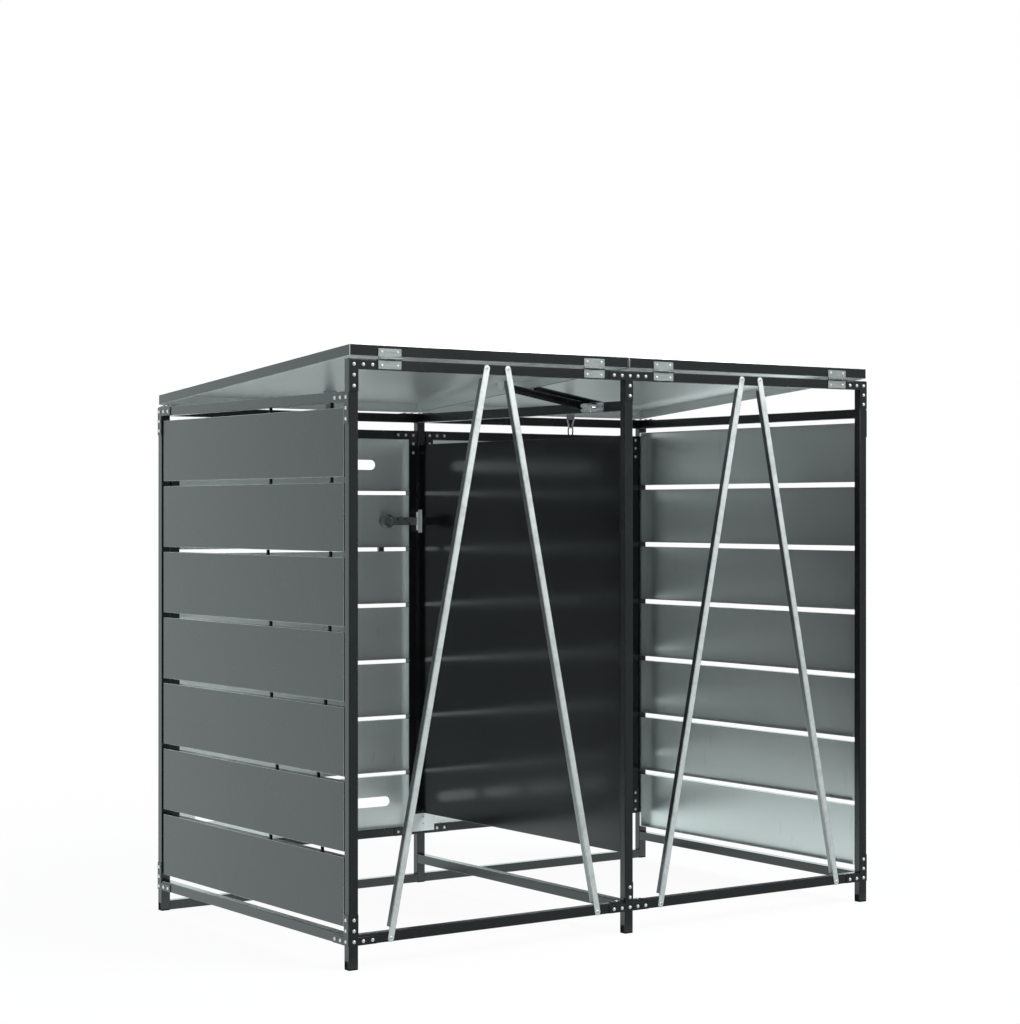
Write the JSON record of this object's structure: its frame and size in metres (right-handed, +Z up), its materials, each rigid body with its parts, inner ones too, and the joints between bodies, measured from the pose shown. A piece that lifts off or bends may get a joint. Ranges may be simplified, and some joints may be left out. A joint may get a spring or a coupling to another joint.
{
  "type": "wheelie bin store",
  "caption": "Wheelie bin store: bolted steel tube frame with slatted sides, a divider, sloped hinged lids on gas struts and slatted locking doors; open braced back.",
  "frame": {"origin": "centre of the bounding box in plan, on the ground under the feet", "axes": "+X to the right of someone who faces the doors, +Y towards the back, +Z up; the doors face -Y"},
  "size_m": [1.333, 0.8214, 1.1765],
  "materials": {
    "powder_coat": "satin anthracite powder coat",
    "gloss_panel": "gloss black",
    "galvanised": "galvanised sheet",
    "zinc_hinge": "zinc-plated",
    "strut_black": "black paint",
    "strut_rod": "polished",
    "black_plastic": "matte",
    "lock_metal": "satin grey",
    "black_ring": "black"
  },
  "bodies": {
    "frame": {"post_rear_left": "powder_coat", "post_rear_centre": "powder_coat", "post_rear_right": "powder_coat", "post_front_left": "powder_coat", "post_front_centre": "powder_coat", "post_front_right": "powder_coat", "foot_glides": "black_plastic", "brace_right_outer": "galvanised", "brace_right_inner": "galvanised", "brace_left_outer": "galvanised", "brace_left_inner": "galvanised", "rails_rear_top": "powder_coat", "rails_rear_bottom": "powder_coat", "rails_front_top": "powder_coat", "sills_front": "powder_coat", "rails_side_top": "powder_coat", "rails_side_bottom": "powder_coat", "rail_centre_top": "powder_coat", "rail_centre_bottom": "powder_coat", "joining_plates": "powder_coat", "side_slats_left": "powder_coat", "side_slats_right": "powder_coat", "divider_panel": "gloss_panel", "lock_keepers": "galvanised", "door_stop": "powder_coat", "strut_brackets": "galvanised", "lid_hinge_bases": "zinc_hinge", "door_hinge_bases": "zinc_hinge"},
    "lid_right": {"lid_panel_right": "powder_coat", "lid_hinge_leaves_right": "zinc_hinge", "lid_brackets_right": "galvanised"},
    "door_right": {"door_frame_right": "powder_coat", "door_plates_right": "powder_coat", "door_slats_right": "powder_coat", "door_fittings_right": "zinc_hinge"},
    "lock_right": {"lock_handle_right": "lock_metal", "lock_cam_right": "lock_metal"},
    "strut_tube_right": {"strut_cylinder_right": "strut_black"},
    "strut_rod_right": {"strut_rod_right": "strut_rod"},
    "catch_right": {"catch_link_right": "galvanised"},
    "ring_right": {"catch_ring_right": "black_ring"},
    "lid_left": {"lid_panel_left": "powder_coat", "lid_hinge_leaves_left": "zinc_hinge", "lid_brackets_left": "galvanised"},
    "door_left": {"door_frame_left": "powder_coat", "door_plates_left": "powder_coat", "door_slats_left": "powder_coat", "door_fittings_left": "zinc_hinge"},
    "lock_left": {"lock_handle_left": "lock_metal", "lock_cam_left": "lock_metal"},
    "strut_tube_left": {"strut_cylinder_left": "strut_black"},
    "strut_rod_left": {"strut_rod_left": "strut_rod"},
    "catch_left": {"catch_link_left": "galvanised"},
    "ring_left": {"catch_ring_left": "black_ring"}
  },
  "joints": [
    {"name": "lid_right_hinge", "type": "hinge", "parent": "frame", "child": "lid_right", "pos_m": [0.3325, 0.40795, 1.1507], "axis": [-1, 0, 0], "range_deg": [0, 80]},
    {"name": "door_right_hinge", "type": "hinge", "parent": "frame", "child": "door_right", "pos_m": [0.6435, -0.39745, 0.58085], "axis": [0, 0, 1], "range_deg": [0, 110]},
    {"name": "lock_right_turn", "type": "hinge", "parent": "door_right", "child": "lock_right", "pos_m": [0.093, -0.39475, 0.83934], "axis": [0, -1, 0], "range_deg": [0, 90]},
    {"name": "strut_right_swing", "type": "hinge", "parent": "frame", "child": "strut_tube_right", "pos_m": [0.03, 0.31995, 1.075], "axis": [-1, 0, 0], "range_deg": [0, 80.1]},
    {"name": "strut_right_slide", "type": "slide", "parent": "strut_tube_right", "child": "strut_rod_right", "axis": [0, -0.9835, 0.1806], "range_m": [0, 0.1497]},
    {"name": "catch_right_swing", "type": "hinge", "parent": "lid_right", "child": "catch_right", "pos_m": [0.3275, -0.23728, 1.11868], "axis": [1, 0, 0], "range_deg": [-75, 75]},
    {"name": "ring_right_swing", "type": "hinge", "parent": "catch_right", "child": "ring_right", "pos_m": [0.3275, -0.23728, 1.05868], "axis": [1, 0, 0], "range_deg": [-40, 40]},
    {"name": "lid_left_hinge", "type": "hinge", "parent": "frame", "child": "lid_left", "pos_m": [-0.3325, 0.40795, 1.1507], "axis": [-1, 0, 0], "range_deg": [0, 80]},
    {"name": "door_left_hinge", "type": "hinge", "parent": "frame", "child": "door_left", "pos_m": [-0.6435, -0.39745, 0.58085], "axis": [0, 0, -1], "range_deg": [0, 110]},
    {"name": "lock_left_turn", "type": "hinge", "parent": "door_left", "child": "lock_left", "pos_m": [-0.093, -0.39475, 0.83934], "axis": [0, 1, 0], "range_deg": [0, 90]},
    {"name": "strut_left_swing", "type": "hinge", "parent": "frame", "child": "strut_tube_left", "pos_m": [-0.03, 0.31995, 1.075], "axis": [-1, 0, 0], "range_deg": [0, 80.1]},
    {"name": "strut_left_slide", "type": "slide", "parent": "strut_tube_left", "child": "strut_rod_left", "axis": [0, -0.9835, 0.1806], "range_m": [0, 0.1497]},
    {"name": "catch_left_swing", "type": "hinge", "parent": "lid_left", "child": "catch_left", "pos_m": [-0.3275, -0.23728, 1.11868], "axis": [1, 0, 0], "range_deg": [-75, 75]},
    {"name": "ring_left_swing", "type": "hinge", "parent": "catch_left", "child": "ring_left", "pos_m": [-0.3275, -0.23728, 1.05868], "axis": [1, 0, 0], "range_deg": [-40, 40]}
  ],
  "couplings": [
    {"joint": "strut_right_swing", "follows": "lid_right_hinge", "ratio": 0.99555},
    {"joint": "strut_right_slide", "follows": "lid_right_hinge", "m_per_rad": 0.10686},
    {"joint": "strut_left_swing", "follows": "lid_left_hinge", "ratio": 0.99555},
    {"joint": "strut_left_slide", "follows": "lid_left_hinge", "m_per_rad": 0.10686}
  ]
}
